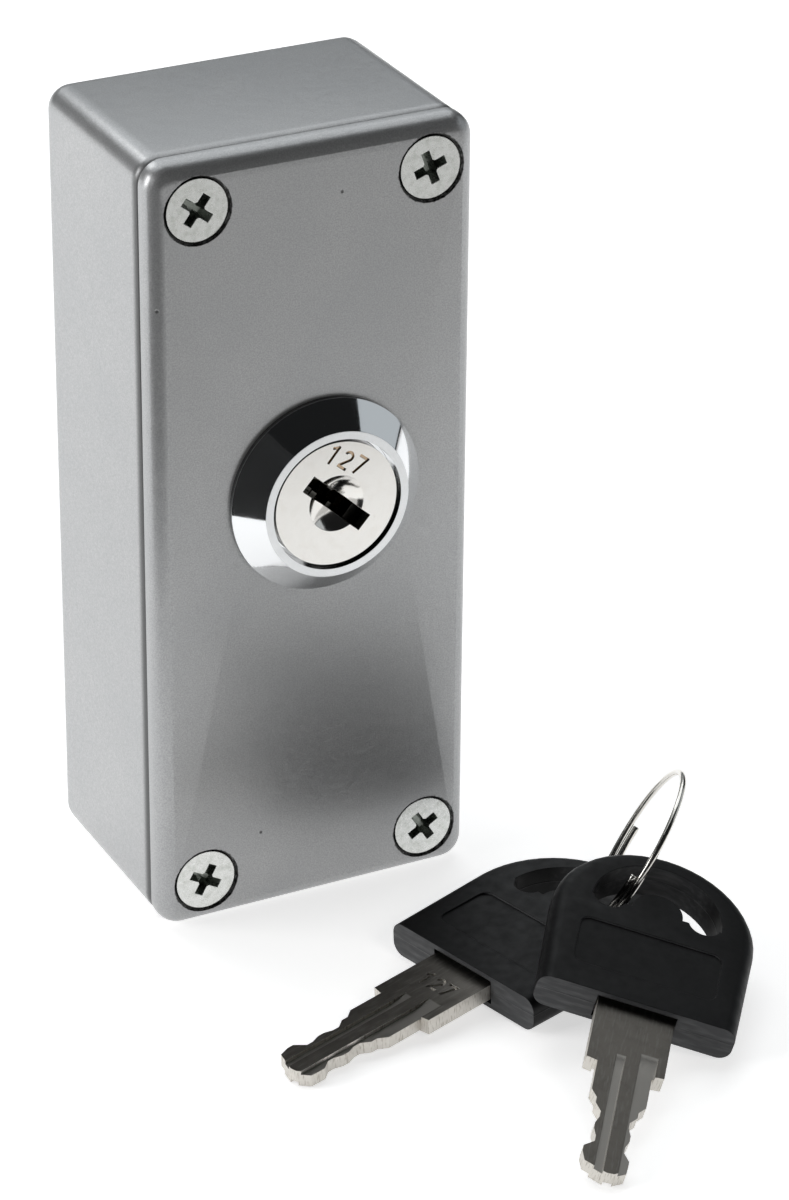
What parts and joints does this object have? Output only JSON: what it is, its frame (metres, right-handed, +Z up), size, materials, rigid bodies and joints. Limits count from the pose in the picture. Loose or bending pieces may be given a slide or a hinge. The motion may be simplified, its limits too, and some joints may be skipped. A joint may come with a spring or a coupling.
{
  "type": "selector key switch",
  "caption": "Key operated selector switch in a small die-cast box with a screwed lid, a wafer cam lock over a lever microswitch, and flat keys with plastic bows on a split ring.",
  "frame": {"origin": "centre of the box's back face, the face that goes on the wall", "axes": "+Z up along the box's long side, -Y out through the lid, +X to the right as seen from the front"},
  "size_m": [0.0568, 0.0958, 0.092],
  "materials": {
    "box_paint": "satin silver-grey paint on die-cast alloy, fine grain",
    "zinc_screws": "bright zinc plate",
    "grommet_rubber": "matt black rubber",
    "tinned_brass": "tinned brass",
    "lock_chrome": "polished chrome plate",
    "zinc_steel": "zinc plated steel",
    "switch_plastic": "black moulded plastic",
    "terminal_brass": "stamped brass",
    "spring_steel": "bright spring steel",
    "plunger_plastic": "red moulded plastic",
    "contact_bronze": "bronze spring strip",
    "contact_silver": "silver contact rivet",
    "plug_nickel": "satin nickel plate with a polished dimple",
    "wafer_brass": "stamped brass",
    "bow_plastic": "black moulded plastic, fine texture",
    "key_nickel": "dull nickel plate with bright cut edges",
    "ring_nickel": "bright nickel plated wire"
  },
  "bodies": {
    "enclosure": {"enclosure_base": "box_paint", "lid": "box_paint", "lid_screws": "zinc_screws", "cable_grommet": "grommet_rubber", "earth_screw": "zinc_screws", "earth_tag": "tinned_brass", "lock_barrel": "lock_chrome", "lock_washer": "zinc_steel", "lock_nut": "zinc_steel", "switch_bracket": "zinc_steel", "switch_case": "switch_plastic", "switch_cover": "switch_plastic", "switch_screws": "zinc_screws", "switch_nuts": "zinc_screws", "terminal_common": "terminal_brass", "terminal_normally_closed": "terminal_brass", "terminal_normally_open": "terminal_brass"},
    "rotor": {"plug": "plug_nickel", "stop_washer": "zinc_steel", "cam": "zinc_steel", "cam_nut": "zinc_steel", "springs_odd": "spring_steel", "springs_even": "spring_steel"},
    "wafers_odd": {"wafer_1": "wafer_brass", "wafer_3": "wafer_brass", "wafer_5": "wafer_brass", "wafer_7": "wafer_brass"},
    "wafers_even": {"wafer_2": "wafer_brass", "wafer_4": "wafer_brass", "wafer_6": "wafer_brass"},
    "lever": {"actuating_lever": "spring_steel"},
    "switch_plunger": {"plunger": "plunger_plastic"},
    "contact": {"contact_blade": "contact_bronze", "moving_contact": "contact_silver"},
    "key_one": {"key_1_bow": "bow_plastic", "key_1_blade": "key_nickel"},
    "ring": {"split_ring": "ring_nickel"},
    "key_two": {"key_2_bow": "bow_plastic", "key_2_blade": "key_nickel"}
  },
  "joints": [
    {"name": "rotor_turn", "type": "hinge", "parent": "enclosure", "child": "rotor", "pos_m": [0.0009, -0.02, 0.0049], "axis": [0, 1, 0], "range_deg": [0, 90]},
    {"name": "lever_swing", "type": "hinge", "parent": "enclosure", "child": "lever", "pos_m": [-0.0126, -0.01055, -0.0105], "axis": [0, 1, 0], "range_deg": [0, 4.5]},
    {"name": "plunger_press", "type": "slide", "parent": "enclosure", "child": "switch_plunger", "axis": [0, 0, -1], "range_m": [0, 0.0007]},
    {"name": "contact_swing", "type": "hinge", "parent": "enclosure", "child": "contact", "pos_m": [-0.0089, -0.01055, -0.0162], "axis": [0, 1, 0], "range_deg": [0, 7.5]},
    {"name": "wafers_odd_slide", "type": "slide", "parent": "rotor", "child": "wafers_odd", "axis": [0.7431, 0, -0.6691], "range_m": [0, 0.0008], "deforming": ["springs_odd"]},
    {"name": "wafers_even_slide", "type": "slide", "parent": "rotor", "child": "wafers_even", "axis": [-0.7431, 0, 0.6691], "range_m": [0, 0.0008], "deforming": ["springs_even"]},
    {"name": "keys_lift", "type": "slide", "parent": "enclosure", "child": "key_one", "axis": [0, 0, 1], "range_m": [0, 0.06]},
    {"name": "ring_turn", "type": "hinge", "parent": "key_one", "child": "ring", "pos_m": [0.03012, -0.04954, -0.03691], "axis": [-0.7076, 0.5141, 0.4848], "continuous": true},
    {"name": "key_two_swing", "type": "hinge", "parent": "key_one", "child": "key_two", "pos_m": [0.03012, -0.04954, -0.03691], "axis": [-0.7076, 0.5141, 0.4848], "range_deg": [0, 100]}
  ],
  "couplings": [
    {"joint": "lever_swing", "follows": "rotor_turn", "ratio": 0.047071},
    {"joint": "plunger_press", "follows": "rotor_turn", "m_per_rad": 0.00042913},
    {"joint": "contact_swing", "follows": "rotor_turn", "ratio": 0.079059},
    {"joint": "wafers_even_slide", "follows": "wafers_odd_slide", "ratio": 1}
  ]
}
